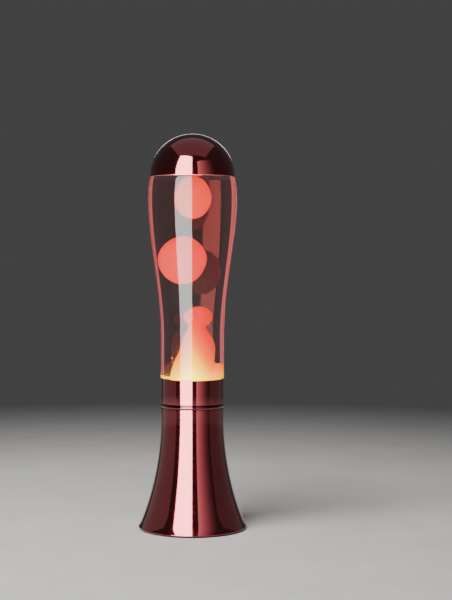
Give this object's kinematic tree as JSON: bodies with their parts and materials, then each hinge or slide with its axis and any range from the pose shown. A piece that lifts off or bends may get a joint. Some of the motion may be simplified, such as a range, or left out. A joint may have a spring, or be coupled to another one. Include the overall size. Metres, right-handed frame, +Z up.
{
  "type": "lava lamp",
  "caption": "Lava lamp: flared metal base with a reflector bulb, a bottle of clear liquid with wax that rises and sinks, and a domed metal cap that lifts off.",
  "frame": {"origin": "on the surface the lamp stands on, under the middle of the base", "axes": "+Z up along the axis of base, bottle and cap; +Y towards the cable hole at the back; the front faces -Y"},
  "size_m": [0.11, 0.11, 0.4],
  "materials": {
    "red_metal": "polished",
    "coupler_metal": "polished",
    "seat_metal": "satin",
    "plate_black": "matte",
    "rubber_black": "matte",
    "zinc_steel": "satin",
    "holder_plastic": "satin",
    "brass": "satin",
    "bulb_glass": "gloss",
    "solder": "satin",
    "insulator_black": "gloss",
    "tungsten": "satin",
    "bottle_glass": "gloss",
    "closure_steel": "polished",
    "liner": "satin",
    "liquid": "gloss",
    "wax": "satin",
    "coil_steel": "satin",
    "soft_ring": "matte"
  },
  "bodies": {
    "base": {"base_cone": "red_metal", "coupler_ring": "coupler_metal", "collar": "red_metal", "bottle_seat": "seat_metal", "bottom_plate": "plate_black", "rubber_feet": "rubber_black", "fixing_lugs": "zinc_steel", "plate_screws": "zinc_steel", "lampholder_bracket": "zinc_steel", "bracket_rivets": "zinc_steel", "cable_bush": "rubber_black", "lampholder_body": "holder_plastic", "lampholder_shell": "brass", "centre_contact": "brass", "terminal_screws": "zinc_steel", "threaded_nipple": "zinc_steel", "nipple_nut": "zinc_steel"},
    "bulb": {"bulb_envelope": "bulb_glass", "bulb_screw_cap": "brass", "bulb_insulator": "insulator_black", "bulb_tip": "solder", "bulb_stem": "bulb_glass", "support_wires": "tungsten", "filament": "tungsten"},
    "bottle": {"glass_bottle": "bottle_glass", "crown_cap": "closure_steel", "crown_liner": "liner", "fill_liquid": "liquid", "wax_mound": "wax", "wax_droplets": "wax", "coil_ring": "coil_steel"},
    "upper_blob": {"wax_blob_upper": "wax"},
    "middle_blob": {"wax_blob_middle": "wax"},
    "cap": {"dome_cap": "red_metal", "centring_ring": "soft_ring"}
  },
  "joints": [
    {"name": "bottle_lift", "type": "slide", "parent": "base", "child": "bottle", "axis": [0, 0, 1], "range_m": [0, 0.08]},
    {"name": "cap_lift", "type": "slide", "parent": "bottle", "child": "cap", "axis": [0, 0, 1], "range_m": [0, 0.06]},
    {"name": "bulb_unscrew", "type": "hinge", "parent": "base", "child": "bulb", "pos_m": [0, 0, 0.06], "axis": [0, 0, 1], "range_deg": [0, 1080]},
    {"name": "upper_blob_drift", "type": "slide", "parent": "bottle", "child": "upper_blob", "axis": [0, 0, 1], "range_m": [-0.008, 0.006]},
    {"name": "middle_blob_drift", "type": "slide", "parent": "bottle", "child": "middle_blob", "axis": [0, 0, 1], "range_m": [-0.014, 0.008]}
  ]
}
